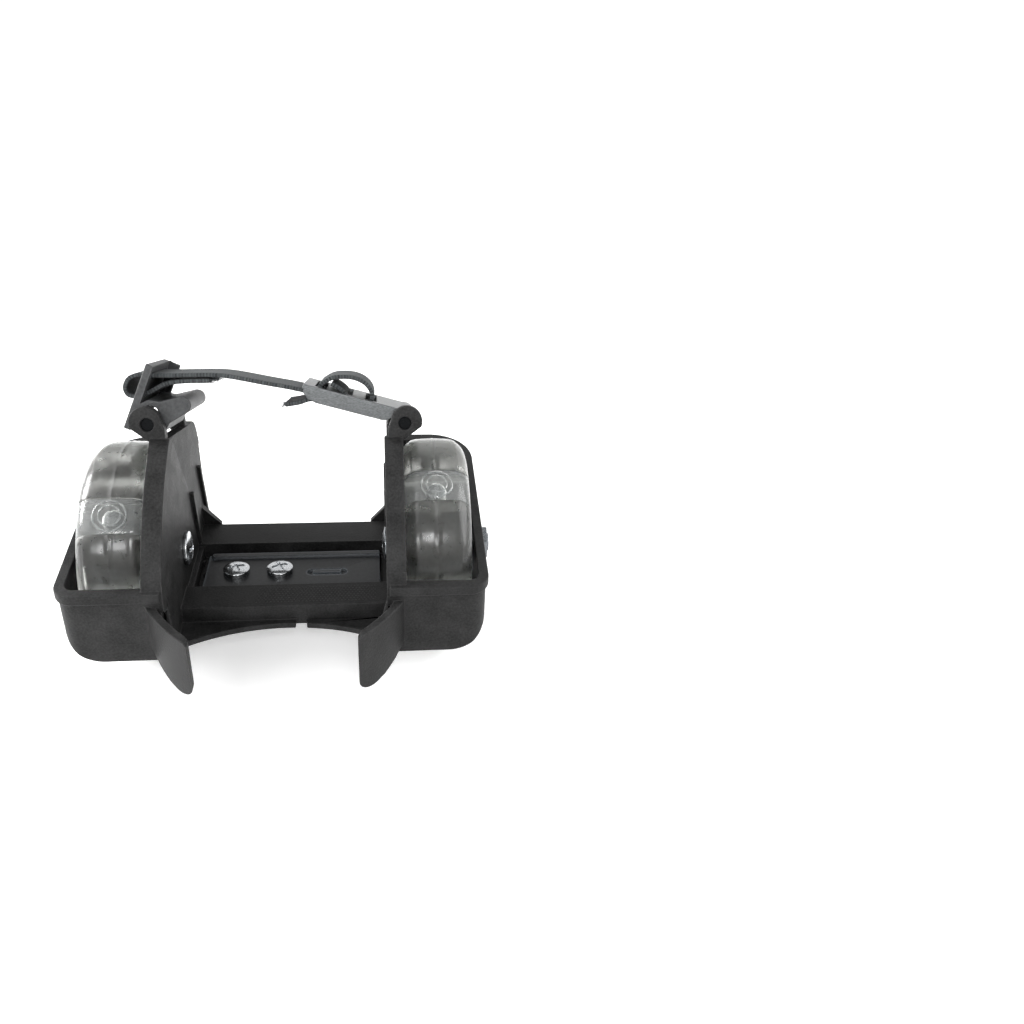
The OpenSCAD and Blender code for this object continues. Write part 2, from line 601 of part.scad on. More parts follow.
left_frame();
right_frame();
lock_plate();
clamp_screws();
clamp_nuts();
tyre(-1, left_turn);  // left_tyre
core(-1, left_turn);  // left_core
windows(-1, left_turn);  // left_windows
leds(-1, left_turn);  // left_leds
bearing_outers(-1);  // left_bearing_outers
bearing_inners(-1);  // left_bearing_inners
left() axle_sleeve();  // left_axle_sleeve
magnet(-1);  // left_magnet
left() axle_washers();  // left_axle_washers
left() axle_bolt();  // left_axle_bolt
left() axle_nut();  // left_axle_nut
tyre(1, right_turn);  // right_tyre
core(1, right_turn);  // right_core
windows(1, right_turn);  // right_windows
leds(1, right_turn);  // right_leds
bearing_outers(1);  // right_bearing_outers
bearing_inners(1);  // right_bearing_inners
right() axle_sleeve();  // right_axle_sleeve
magnet(1);  // right_magnet
right() axle_washers();  // right_axle_washers
right() axle_bolt();  // right_axle_bolt
right() axle_nut();  // right_axle_nut
left() strap_pin();  // left_strap_pin
right() strap_pin();  // right_strap_pin
strap_clip();
strap_run();
strap_loop();
adjuster();
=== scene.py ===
"""Looks of a heel roller skate: moulded frames, clear wheels with light windows and a webbing strap."""
import math
import random
import bmesh
import bpy
from mathutils import Matrix, Vector
from mathutils.bvhtree import BVHTree
from mathutils.geometry import intersect_point_line


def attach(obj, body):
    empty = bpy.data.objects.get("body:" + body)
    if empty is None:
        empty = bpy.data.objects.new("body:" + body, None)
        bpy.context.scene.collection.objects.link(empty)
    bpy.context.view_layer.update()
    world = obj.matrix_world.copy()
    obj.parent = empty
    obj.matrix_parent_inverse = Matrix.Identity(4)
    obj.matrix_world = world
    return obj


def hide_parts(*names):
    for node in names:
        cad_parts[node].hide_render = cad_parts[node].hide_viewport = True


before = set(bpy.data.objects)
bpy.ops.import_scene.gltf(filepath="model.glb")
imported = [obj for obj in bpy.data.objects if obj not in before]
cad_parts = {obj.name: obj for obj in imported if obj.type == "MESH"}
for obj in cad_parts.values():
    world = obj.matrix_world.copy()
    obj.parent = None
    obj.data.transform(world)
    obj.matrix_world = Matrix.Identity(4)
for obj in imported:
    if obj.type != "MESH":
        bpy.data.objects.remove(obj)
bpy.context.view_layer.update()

# Sizes repeated from the part's source, in millimetres
MM = 0.001
AXLE = Vector((0, 7.1373, 35)) * MM
WHEEL_X = 47.4
WHEEL_R = 35
LEFT_TURN = 130.5
RIGHT_TURN = 116
TREAD_FLAT = 4.6
SEAT_Z = 24.5
STRAP_TILT = math.radians(19)
STRAP_MID = -0.9
WEB_W = 20
PIN_X = 38.2
PIN_N = 42.2576
ADJ_SLOPE = math.radians(15)
ADJ_L = 32.6
SLOTS = (11.6, 19.2, 27.4)
RUN_V = 1.2
TAIL_V = -0.3
LOOP_V = 2.4


# Colours and nodes
def linear(code):
    """Turns an sRGB hex value into a linear colour."""
    levels = [int(code[i:i + 2], 16) / 255 for i in (1, 3, 5)]
    return [v / 12.92 if v <= 0.04045 else ((v + 0.055) / 1.055) ** 2.4 for v in levels] + [1]


def add(tree, kind, inputs=None, **settings):
    """Adds one node, with its settings and with values or links on its inputs."""
    made = tree.nodes.new(kind)
    for name, value in settings.items():
        setattr(made, name, value)
    for name, value in (inputs or {}).items():
        if isinstance(value, bpy.types.NodeSocket):
            tree.links.new(value, made.inputs[name])
        else:
            made.inputs[name].default_value = value
    return made


def surface(name, **values):
    """Starts a material with values on its shader; gives the material, its tree and its shader."""
    material = bpy.data.materials.new(name)
    material.use_nodes = True
    tree = material.node_tree
    shader = tree.nodes["Principled BSDF"]
    for key, value in values.items():
        shader.inputs[key.replace("_", " ").title().replace("Ior", "IOR")].default_value = value
    return material, tree, shader


def toned(tree, shader, height, tones, rough, low=0.35, high=0.65):
    """Lets a pattern run the colour between two tones and the roughness with it; gives the colour."""
    spread = {"Value": height, "From Min": low, "From Max": high}
    share = add(tree, "ShaderNodeMapRange", spread).outputs["Result"]
    mixed = {0: share, 6: linear(tones[0]), 7: linear(tones[1])}
    colour = add(tree, "ShaderNodeMix", mixed, data_type="RGBA").outputs[2]
    gloss = add(tree, "ShaderNodeMapRange", {"Value": share, "To Min": rough[0], "To Max": rough[1]})
    tree.links.new(colour, shader.inputs["Base Color"])
    tree.links.new(gloss.outputs["Result"], shader.inputs["Roughness"])
    return colour


# Rubbed wear and the painted edge highlight start, and are full, at these cosines between a softened edge's
# normal and the true one
WEAR_AND_HIGHLIGHT_STARTS = 0.98
WEAR_AND_HIGHLIGHT_FULL = 0.75
WEAR_AND_HIGHLIGHT_SHARE = 0.7


def wear_and_highlight_edges(tree, shader, colour, pale_wear_and_highlight, width_mm):
    """Lets a surface go paler along its edges, partly where it has been rubbed and partly as a painted
    highlight where edges catch light.
    """
    soft = add(tree, "ShaderNodeBevel", {"Radius": width_mm * MM}, samples=4).outputs["Normal"]
    true = add(tree, "ShaderNodeNewGeometry").outputs["Normal"]
    lean = add(tree, "ShaderNodeVectorMath", {0: soft, 1: true}, operation="DOT_PRODUCT").outputs["Value"]
    wear_and_highlight = {"Value": lean, "From Min": WEAR_AND_HIGHLIGHT_STARTS, "From Max": WEAR_AND_HIGHLIGHT_FULL, "To Max": WEAR_AND_HIGHLIGHT_SHARE}
    share = add(tree, "ShaderNodeMapRange", wear_and_highlight).outputs["Result"]
    rubbed_and_highlit = add(tree, "ShaderNodeMix", {0: share, 6: colour, 7: linear(pale_wear_and_highlight)}, data_type="RGBA")
    tree.links.new(rubbed_and_highlit.outputs[2], shader.inputs["Base Color"])


# Moulded plastics from a spark-eroded tool: near black, fine grain, faint clouds, paler along edges with
# rubbed wear and a painted edge highlight
CLOUD_MM = 8


def moulded_plastic(name, tones, rough, grain_mm, depth_mm, level, rubbed_and_highlit, rub_and_highlight_mm=0.6):
    material, tree, shader = surface(name, ior=1.5, specular_ior_level=level)
    place = add(tree, "ShaderNodeTexCoord").outputs["Object"]
    cloud = add(tree, "ShaderNodeTexNoise", {"Vector": place, "Scale": 1 / (CLOUD_MM * MM), "Detail": 3.0})
    # the eroded grain is finer than 0.1 mm and is drawn coarser so that it shows
    grain = add(tree, "ShaderNodeTexNoise", {"Vector": place, "Scale": 1 / (grain_mm * MM), "Detail": 3.0})
    both = add(tree, "ShaderNodeMath", {0: cloud.outputs["Fac"], 1: grain.outputs["Fac"]}, operation="ADD")
    colour = toned(tree, shader, both.outputs[0], tones, rough, 0.7, 1.3)
    wear_and_highlight_edges(tree, shader, colour, rubbed_and_highlit, rub_and_highlight_mm)
    pits = {"Height": grain.outputs["Fac"], "Strength": 1.0, "Distance": depth_mm * MM}
    bump = add(tree, "ShaderNodeBump", pits)
    tree.links.new(bump.outputs["Normal"], shader.inputs["Normal"])
    return material


# Clear plastics: the eye sees the inside blurred and a little bent, under a glossy skin with faint marks
SKIN_ROUGH = 0.17


def clear_plastic(name, tones, rough, ior, clear, mark_mm, drag, skin):
    material, tree, shader = surface(name, ior=ior, transmission_weight=clear, coat_weight=skin,
                                     coat_roughness=SKIN_ROUGH)
    place = add(tree, "ShaderNodeTexCoord").outputs["Object"]
    streaks = {"Vector": place, "Scale": 1 / (mark_mm * MM), "Detail": 4.0, "Distortion": drag}
    marks = add(tree, "ShaderNodeTexNoise", streaks)
    toned(tree, shader, marks.outputs["Fac"], tones, rough)
    return material


# Metals: plated, ground, sintered or blackened, with fine marks from the tool and from handling
SCRATCH_DEPTH = 0.04


def worked_metal(name, tones, rough, scratch_mm, stretch):
    material, tree, shader = surface(name, metallic=1.0)
    place = add(tree, "ShaderNodeTexCoord").outputs["Object"]
    turned = add(tree, "ShaderNodeMapping", {"Vector": place, "Scale": stretch}).outputs["Vector"]
    fine = {"Vector": turned, "Scale": 1 / (scratch_mm * MM), "Detail": 4.0}
    lines = add(tree, "ShaderNodeTexNoise", fine)
    toned(tree, shader, lines.outputs["Fac"], tones, rough)
    scratches = {"Height": lines.outputs["Fac"], "Strength": 0.1, "Distance": SCRATCH_DEPTH * MM}
    bump = add(tree, "ShaderNodeBump", scratches)
    tree.links.new(bump.outputs["Normal"], shader.inputs["Normal"])
    return material


# Nylon webbing, woven in a herringbone: fine slanted ribs, slate grey, a faint pale sheen at low angles
RIB_HALF = 0.45
RIB_SLANT = 0.7
RIB_SHARE = 0.3
RIB_DEPTH = 0.12
FUZZ_MM = 0.7


def woven_nylon(name, tones):
    material, tree, shader = surface(name, ior=1.53, specular_ior_level=0.06, sheen_weight=0.03,
                                     sheen_roughness=0.35)
    place = add(tree, "ShaderNodeUVMap", uv_map="weave").outputs["UV"]
    axes = add(tree, "ShaderNodeSeparateXYZ", {"Vector": place})
    # the ribs slant to a middle line and back; 0.9 mm apart, about twice the real spacing so that they show
    half = add(tree, "ShaderNodeMath", {0: axes.outputs["Y"], 1: WEB_W / 4 * MM}, operation="PINGPONG")
    leaning = {0: half.outputs[0], 1: RIB_SLANT, 2: axes.outputs["X"]}
    slant = add(tree, "ShaderNodeMath", leaning, operation="MULTIPLY_ADD")
    ribs = add(tree, "ShaderNodeMath", {0: slant.outputs[0], 1: RIB_HALF * MM}, operation="PINGPONG")
    level = add(tree, "ShaderNodeMath", {0: ribs.outputs[0], 1: 1 / (RIB_HALF * MM)}, operation="MULTIPLY")
    fuzz = add(tree, "ShaderNodeTexNoise", {"Vector": place, "Scale": 1 / (FUZZ_MM * MM), "Detail": 3.0})
    raised = {0: level.outputs[0], 1: RIB_SHARE, 2: fuzz.outputs["Fac"]}
    both = add(tree, "ShaderNodeMath", raised, operation="MULTIPLY_ADD").outputs[0]
    toned(tree, shader, both, tones, (0.6, 0.8), 0.4, 0.9)
    bump = add(tree, "ShaderNodeBump", {"Height": both, "Strength": 0.5, "Distance": RIB_DEPTH * MM})
    tree.links.new(bump.outputs["Normal"], shader.inputs["Normal"])
    return material


# Frames: matt and grained. Lock plate: smoother, with a broad painted highlight on its rib and edges. Clip:
# a little greyer.
NYLON = moulded_plastic("moulded_glass_filled_nylon", tones=("#131313", "#2d2d2d"), rough=(0.44, 0.6),
                        grain_mm=0.6, depth_mm=0.09, level=0.15, rubbed_and_highlit="#4a4a4a")
# the lock plate's pale edge colour and wide edge band are a painted highlight that lightens its rib
LOCK = moulded_plastic("moulded_blue_black_abs", tones=("#191a1b", "#292a2c"), rough=(0.34, 0.44),
                       grain_mm=1.2, depth_mm=0.03, level=0.3, rubbed_and_highlit="#737a80", rub_and_highlight_mm=1.4)
CLIP = moulded_plastic("moulded_black_acetal", tones=("#2b2c2d", "#444546"), rough=(0.4, 0.5),
                       grain_mm=0.9, depth_mm=0.05, level=0.3, rubbed_and_highlit="#565656")

# Wheels: a smoky core in a clear tyre, and brighter windows over small bulbs
CORE = clear_plastic("moulded_smoky_polycarbonate", tones=("#88898b", "#9fa1a2"), rough=(0.3, 0.4),
                     ior=1.06, clear=0.965, mark_mm=5.0, drag=0.6, skin=0)
TYRE = clear_plastic("cast_clear_polyurethane", tones=("#d2d3cf", "#e4e4e0"), rough=(0.26, 0.36),
                     ior=1.12, clear=0.97, mark_mm=3.0, drag=0.4, skin=0.6)
WINDOW = clear_plastic("moulded_clear_acrylic", tones=("#e4e7e7", "#f4f6f5"), rough=(0.1, 0.18),
                       ior=1.14, clear=0.92, mark_mm=4.0, drag=1.0, skin=0.6)
BULB = clear_plastic("cast_clear_epoxy", tones=("#8d9191", "#bfc2c1"), rough=(0.04, 0.14),
                     ior=1.52, clear=0.6, mark_mm=1.5, drag=0.8, skin=0)

# Hardware: bright screws, dull nuts, a right axle bolt dulled as painted shade, ground bearing rings, black
# pins, a dark magnet and a satin adjuster
ZINC = worked_metal("bright_zinc_plate", tones=("#aeb1b4", "#d9dbdd"), rough=(0.12, 0.26),
                    scratch_mm=0.5, stretch=(1, 1, 4))
DULL_ZINC_AND_SHADE = worked_metal("dull_zinc_plate_and_painted_shade", tones=("#585b5e", "#7f8285"), rough=(0.22, 0.36),
                         scratch_mm=0.5, stretch=(1, 4, 4))
STEEL = worked_metal("ground_bearing_steel", tones=("#9fa2a6", "#c6c8cb"), rough=(0.18, 0.34),
                     scratch_mm=0.3, stretch=(6, 1, 1))
BLACKED = worked_metal("blackened_steel", tones=("#0f1011", "#1e1f20"), rough=(0.45, 0.6),
                       scratch_mm=0.5, stretch=(1, 6, 6))
FERRITE = worked_metal("sintered_ferrite", tones=("#2e3034", "#43464a"), rough=(0.55, 0.7),
                       scratch_mm=0.3, stretch=(1, 1, 1))
NICKEL = worked_metal("satin_nickel_plate", tones=("#535556", "#6e7071"), rough=(0.3, 0.44),
                      scratch_mm=0.8, stretch=(1, 5, 5))

# Strap: slate grey webbing, and paler loose threads at its cut ends
WEBBING = woven_nylon("woven_slate_nylon", ("#2a2c2d", "#515455"))
YARN = moulded_plastic("spun_slate_nylon_yarn", tones=("#3c3e3f", "#5d6061"), rough=(0.6, 0.75),
                       grain_mm=0.4, depth_mm=0.02, level=0.2, rubbed_and_highlit="#5d6061")


# Making pieces
def piece(name, bm, body, material, nodes=(), sharp=32):
    """Turns a finished bmesh into a piece that rides on a body and stands for CAD nodes."""
    mesh = bpy.data.meshes.new(name)
    bm.to_mesh(mesh)
    bm.free()
    mesh.shade_smooth()
    mesh.set_sharp_from_angle(angle=math.radians(sharp))
    made = bpy.data.objects.new(name, mesh)
    bpy.context.scene.collection.objects.link(made)
    mesh.materials.append(material)
    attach(made, body)
    if nodes:
        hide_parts(*nodes)
    return made


def crossed(bm):
    """Finds the places where faces that share no corner cut through each other."""
    flat = bm.copy()
    bmesh.ops.triangulate(flat, faces=flat.faces)
    flat.faces.ensure_lookup_table()
    flat.verts.index_update()
    tree = BVHTree.FromBMesh(flat, epsilon=0.0)
    places = []
    for a, b in tree.overlap(tree):
        one, two = flat.faces[a], flat.faces[b]
        if a < b and not {v.index for v in one.verts} & {v.index for v in two.verts}:
            places += [one.calc_center_median(), two.calc_center_median()]
    flat.free()
    return places


def distance(point, start, end):
    """Gives how far a point lies from an edge."""
    along = intersect_point_line(point, start, end)[1]
    return (point - start.lerp(end, min(1, max(0, along)))).length


# Rounding: what counts as one corner, as one face, as an edge, and as too close to a clash to be rounded
MERGED = 0.002
FLAT_ANGLE = math.radians(1.5)
EDGE_ANGLE = math.radians(30)
CROWDED = 0.6
ROUNDED_SHARP = 40


def rounded(node, edge, shrink=0.0, tries=6):
    """Copies a CAD node and rounds its edges, leaving sharp the few that have no room beside them."""
    tight = set()
    for _ in range(tries):
        bm = bmesh.new()
        bm.from_mesh(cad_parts[node].data)
        bmesh.ops.remove_doubles(bm, verts=bm.verts, dist=MERGED * MM)
        bmesh.ops.dissolve_limit(bm, angle_limit=FLAT_ANGLE, verts=bm.verts, edges=bm.edges)
        bm.normal_update()
        if shrink:
            for vert in bm.verts:
                vert.co -= vert.normal * shrink * MM
        bm.edges.index_update()
        sharp = [e for e in bm.edges if len(e.link_faces) == 2 and e.calc_face_angle() > EDGE_ANGLE
                 and e.index not in tight]
        ends = {e.index: [v.co.copy() for v in e.verts] for e in sharp}
        if not edge:
            break
        bmesh.ops.bevel(bm, geom=sharp, offset=edge * MM, offset_type="OFFSET", affect="EDGES", segments=2,
                        profile=0.5, material=-1, clamp_overlap=False, loop_slide=False)
        places = crossed(bm)
        if not places:
            break
        tight |= {k for k, (a, b) in ends.items() if any(distance(p, a, b) < CROWDED * MM for p in places)}
    return bm


def softened(node, name, body, material, edge, shrink=0.0):
    """Puts a rounded copy of a CAD node in its place."""
    made = piece(name, rounded(node, edge, shrink), body, material, [node], sharp=ROUNDED_SHARP)
    flat = made.modifiers.new("flat_faces", "WEIGHTED_NORMAL")
    flat.keep_sharp = True
    flat.weight = 95


# Moulded, stamped and plated pieces
softened("left_frame", "left_frame_moulding", "base", NYLON, 0.35)
softened("right_frame", "right_frame_moulding", "right_half", NYLON, 0.35)
softened("lock_plate", "lock_plate_moulding", "base", LOCK, 0.45)
softened("strap_clip", "strap_clip_moulding", "strap", CLIP, 0.35)
softened("adjuster", "adjuster_stamping", "adjuster_link", NICKEL, 0.25)
softened("clamp_screws", "clamp_screw_heads", "base", ZINC, 0.1)
softened("clamp_nuts", "clamp_nut_pressings", "base", STEEL, 0.15)

# A moulded stipple on the right part of the rear bar, where the heel rests
DOT_ROWS = 8
DOT_COLUMNS = 34
DOTS_X = -9.5
DOTS_Y = -9.3
DOT_STEP_X = 1.12
DOT_STEP_Y = 1.08
DOT_R = 0.3
DOT_FLATTENED = 0.6

bm = bmesh.new()
for row in range(DOT_ROWS):
    for column in range(DOT_COLUMNS):
        spot = Vector((DOTS_X + DOT_STEP_X * (column + row % 2 / 2), DOTS_Y + DOT_STEP_Y * row, SEAT_Z)) * MM
        bmesh.ops.create_icosphere(bm, subdivisions=1, radius=DOT_R * MM, matrix=Matrix.Translation(spot))
seat = Matrix.Translation((0, 0, -SEAT_Z * MM))
bmesh.ops.scale(bm, verts=bm.verts, vec=(1, 1, DOT_FLATTENED), space=seat)
piece("rear_bar_stipple", bm, "base", NYLON)

# Wheels: a tread with a crown, a raised mould line in its middle and a step down at each shoulder
LINE_HALF = 0.25
LINE_H = 0.12
CROWN = 0.2
SHOULDER = 7.5
SHOULDER_STEP = 0.2

# The tread is cut at these places to both sides of its middle, so that its mesh can take that form
TREAD_CUTS = (0.2, 0.35, 1.5, 3, 7.4, 7.65)
CUT_NEAR = 0.001

# The tread's form fades out toward the hub, over the last stretch of radius outside FADE_R
FADE_R = 28
FADE = 4

# Clear pieces are drawn a little smaller than their solids, because faces that coincide look speckled
TYRE_SHRINK = 0.03
WINDOW_SHRINK = 0.08
CORE_SHRINK = 0.15
BORE_R = 20.95
BORE_BAND = 0.6

# Each lens ring has a radius and a radius of its round section
LENS_RINGS = ((4.7, 0.28), (3.1, 0.24))


def tread_drop(across):
    """Gives how far the tread lies under the wheel's full radius, by the place across it."""
    across = abs(across)
    if across < LINE_HALF:
        return 0
    crown = CROWN * min(1, (across / TREAD_FLAT) ** 2)
    return LINE_H + crown + (SHOULDER_STEP if across > SHOULDER else 0)


def crowned(bm, hub):
    """Gives the tread its crown, the raised mould line in the middle and a step on each shoulder."""
    for across in TREAD_CUTS:
        for side in (-1, 1):
            bmesh.ops.bisect_plane(bm, geom=bm.verts[:] + bm.edges[:] + bm.faces[:], dist=CUT_NEAR * MM,
                                   plane_co=hub + Vector((side * across * MM, 0, 0)), plane_no=(1, 0, 0))
    for vert in bm.verts:
        arm = vert.co - hub
        across = arm.x / MM
        arm.x = 0
        reach = arm.length / MM
        if reach < BORE_R + BORE_BAND:
            # the tyre's bore is set to one radius, just clear of the core
            drop = reach - BORE_R
        else:
            drop = tread_drop(across) * min(1, max(0, (reach - FADE_R) / FADE))
        vert.co -= arm.normalized() * drop * MM
    return bm


def lens_rings(hub, turn):
    """Lays two thin raised rings on each of the four windows."""
    upright = Matrix.Rotation(math.pi / 2, 4, "X")
    ring = bmesh.new()
    for radius, tube in LENS_RINGS:
        section = bmesh.ops.create_circle(ring, segments=8, radius=tube * MM, cap_ends=False,
                                          matrix=Matrix.Translation((radius * MM, 0, 0)) @ upright)["verts"]
        edges = list({e for v in section for e in v.link_edges})
        bmesh.ops.spin(ring, geom=section + edges, cent=(0, 0, 0), axis=(0, 0, 1), angle=2 * math.pi,
                       steps=40, use_merge=True)
    bmesh.ops.remove_doubles(ring, verts=ring.verts, dist=0.005 * MM)
    bmesh.ops.recalc_face_normals(ring, faces=ring.faces)
    for vert in ring.verts:
        around = vert.co.y / (WHEEL_R * MM)
        reach = (WHEEL_R - max(LINE_H, tread_drop(vert.co.x / MM))) * MM + vert.co.z
        vert.co = Vector((vert.co.x, reach * math.cos(around), reach * math.sin(around)))
    bm = bmesh.new()
    one = bpy.data.meshes.new("ring")
    for quarter in range(4):
        copy = ring.copy()
        copy.transform(Matrix.Translation(hub) @ Matrix.Rotation(math.radians(turn + 90 * quarter), 4, "X"))
        copy.to_mesh(one)
        copy.free()
        bm.from_mesh(one)
    ring.free()
    bpy.data.meshes.remove(one)
    return bm


def finish_nodes(material, *names):
    """Gives CAD nodes whose shape is right their material."""
    for name in names:
        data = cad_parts[name].data
        data.materials.clear()
        data.materials.append(material)


for side, word, turn in ((-1, "left", LEFT_TURN), (1, "right", RIGHT_TURN)):
    wheel = word + "_wheel"
    half = "base" if side < 0 else "right_half"
    # the right axle bolt is the same bolt as the left; its dull plate is painted shade that keeps its rim
    # from showing bright
    bolt_plate_shaded_on_right = ZINC if side < 0 else DULL_ZINC_AND_SHADE
    hub = AXLE + Vector((side * WHEEL_X * MM, 0, 0))
    tyre = crowned(rounded(word + "_tyre", 0.25, TYRE_SHRINK), hub)
    piece(word + "_tyre_casting", tyre, wheel, TYRE, [word + "_tyre"], sharp=ROUNDED_SHARP)
    panes = crowned(rounded(word + "_windows", 0.2, WINDOW_SHRINK), hub)
    piece(word + "_window_lenses", panes, wheel, WINDOW, [word + "_windows"],
          sharp=ROUNDED_SHARP)
    piece(word + "_lens_rings", lens_rings(hub, turn), wheel, WINDOW)
    softened(word + "_core", word + "_core_moulding", wheel, CORE, 0.2, CORE_SHRINK)
    softened(word + "_leds", word + "_light_bulbs", wheel, BULB, 0)
    softened(word + "_axle_bolt", word + "_axle_bolt_forging", half, bolt_plate_shaded_on_right, 0.12)
    softened(word + "_axle_nut", word + "_axle_nut_pressing", half, DULL_ZINC_AND_SHADE, 0.15)
    finish_nodes(STEEL, word + "_bearing_outers", word + "_bearing_inners", word + "_axle_sleeve",
                 word + "_axle_washers")
    finish_nodes(FERRITE, word + "_magnet")
    finish_nodes(BLACKED, word + "_strap_pin")

# Webbing: a strip that is drawn thinner than its solid, with rolled edges
WEB_T = 1.3
WEB_INSET = 0.1
WEB_ROLL = 0.4


def by_adjuster(u, v):
    """Gives a point of the strap's line from its place along the adjuster and over it."""
    return Vector((PIN_X - u * math.cos(ADJ_SLOPE) + v * math.sin(ADJ_SLOPE),
                   PIN_N + u * math.sin(ADJ_SLOPE) + v * math.cos(ADJ_SLOPE)))


def by_clip(x, n):
    """Gives a point of the strap's line from its place beside the clip's pin and over it."""
    return Vector((x - PIN_X, PIN_N + n))


def strap_point(x, across, normal):
    """Gives a point in space from its places along the axle, across the strap and along its normal."""
    return AXLE + Vector((x, across * math.cos(STRAP_TILT) + normal * math.sin(STRAP_TILT),
                          normal * math.cos(STRAP_TILT) - across * math.sin(STRAP_TILT))) * MM


def smooth_line(points, steps=4):
    """Runs a smooth line through given points."""
    line = []
    for i in range(len(points) - 1):
        a, b = points[max(i - 1, 0)], points[i]
        c, d = points[i + 1], points[min(i + 2, len(points) - 1)]
        for j in range(steps):
            s = j / steps
            line.append(0.5 * (2 * b + (c - a) * s + (2 * a - 5 * b + 4 * c - d) * s * s
                               + (3 * b - a - 3 * c + d) * s * s * s))
    return line + [points[-1]]


def webbing(name, points, body, nodes=()):
    """Lays a strip of webbing along a line, with a UV map in metres along and across the strap."""
    line = smooth_line(points)
    run = [0.0]
    for a, b in zip(line, line[1:]):
        run.append(run[-1] + (b - a).length * MM)
    bm = bmesh.new()
    bmesh.ops.create_grid(bm, x_segments=len(line) - 1, y_segments=6, size=1)
    weave = bm.loops.layers.uv.new("weave")
    for face in bm.faces:
        for loop in face.loops:
            step = round((loop.vert.co.x + 1) / 2 * (len(line) - 1))
            loop[weave].uv = (run[step], loop.vert.co.y * WEB_W / 2 * MM)
    for vert in bm.verts:
        at = line[round((vert.co.x + 1) / 2 * (len(line) - 1))]
        vert.co = strap_point(at.x, STRAP_MID + vert.co.y * (WEB_W / 2 - WEB_INSET), at.y)
    made = piece(name, bm, body, WEBBING, nodes, sharp=60)
    wall = made.modifiers.new("thickness", "SOLIDIFY")
    wall.thickness = WEB_T * MM
    wall.offset = 0
    rolled = made.modifiers.new("rolled_edge", "BEVEL")
    rolled.width = WEB_ROLL * MM
    rolled.segments = 3
    rolled.limit_method = "ANGLE"
    rolled.angle_limit = math.radians(60)


# Loose threads start inside the webbing and taper; they are drawn thicker than real ones so that they show
THREAD_ROOT = 0.7
THREAD_ROOT_R = 0.14
THREAD_TIP_R = 0.06
THREAD_SPREAD = 9.6


def frayed_end(name, points, body, seed, count, reach):
    """Lets loose threads stand out of a cut end of webbing."""
    draw = random.Random(seed)
    end = points[-1]
    ahead = (end - points[-2]).normalized()
    root = end - ahead * THREAD_ROOT
    bm = bmesh.new()
    for _ in range(count):
        across = STRAP_MID + draw.uniform(-THREAD_SPREAD, THREAD_SPREAD)
        length = reach * draw.uniform(0.35, 1)
        tip = end + ahead * length
        start = strap_point(root.x, across, root.y + draw.uniform(-0.5, 0.5))
        aside = length * draw.uniform(-0.5, 0.5)
        sag = length * draw.uniform(-0.6, 0.2)
        stop = strap_point(tip.x, across + aside, tip.y + sag)
        along = stop - start
        turned = along.to_track_quat("Z", "Y").to_matrix().to_4x4()
        bmesh.ops.create_cone(bm, cap_ends=True, segments=5, radius1=THREAD_ROOT_R * MM,
                              radius2=THREAD_TIP_R * MM, depth=along.length,
                              matrix=Matrix.Translation((start + stop) / 2) @ turned)
    piece(name, bm, body, YARN)


# The strap's run goes from the adjuster to the clip, round its bar and back under itself
long_run = [by_adjuster(u, RUN_V) for u in (9, 14, 20, ADJ_L + 1)]
long_run.append((long_run[-1] + by_clip(23.6, 13.8)) / 2)
long_run += [by_clip(x, n) for x, n in (
    (23.6, 13.8), (17.2, 14.3), (10.2, 14.2), (4.2, 14.1), (-0.2, 14.2), (-3.4, 14.3),
    (-6, 13.1), (-7.1, 10.6), (-6.5, 8.6), (-4.8, 7.9), (-2.5, 8.4), (-0.2, 9.1),
    (2, 10.3), (5, 11.7), (10.2, 12.35), (17.7, 12.5))]

# The tail lies under the adjuster; the arch and the tongue stand on its slots
tail = [by_adjuster(u, TAIL_V - sag) for u, sag in (
    (10, 0), (15, 0), (20, 0), (25, 0), (ADJ_L - 3, 0.6), (ADJ_L, 2.4), (ADJ_L + 4, 4.2))]
s0, s1, s2 = SLOTS
arch = [by_adjuster(u, LOOP_V + rise) for u, rise in (
    (s2, 0), (s2 + 0.2, 1.6), (s2 - 0.8, 3.1), (s2 - 3.4, 5.2), (s1 - 0.3, 6.5), (s0 + 3.4, 6),
    (s0 + 0.8, 4.2), (s0 - 0.2, 1.9), (s0, 0))]
tongue = [by_adjuster(u, LOOP_V + rise) for u, rise in (
    (s1, 0), (s1 + 0.7, 1.3), (s1 + 2.2, 2.1), (s1 + 4, 2.7), (s1 + 5.4, 3))]
webbing("strap_run_webbing", long_run, "strap", ["strap_run"])
webbing("strap_tail_webbing", tail, "strap")
webbing("strap_arch_webbing", arch, "adjuster_link", ["strap_loop"])
webbing("strap_tongue_webbing", tongue, "adjuster_link")
frayed_end("strap_end_threads", long_run, "strap", seed=7, count=34, reach=2.6)
frayed_end("strap_tail_threads", tail, "strap", seed=11, count=30, reach=1.8)

# Studio: white surroundings, a pale floor, soft lights and the camera, in metres
WORLD_LIGHT = 0.4
WORLD_SEEN = 1.0
PAPER_LIFT = 0.45
FLOOR_HALF = 6
FLOOR_Z = -0.0003
LAMP_AIM = Vector((0, 0, 0.04))


def placed(name, data, place):
    """Sets a lamp in the studio and points it; the lamp isn't seen, directly or through clear plastic."""
    made = bpy.data.objects.new(name, data)
    made.location = place
    made.rotation_euler = (LAMP_AIM - Vector(place)).to_track_quat("-Z", "Y").to_euler()
    made.visible_camera = False
    made.visible_transmission = False
    bpy.context.scene.collection.objects.link(made)


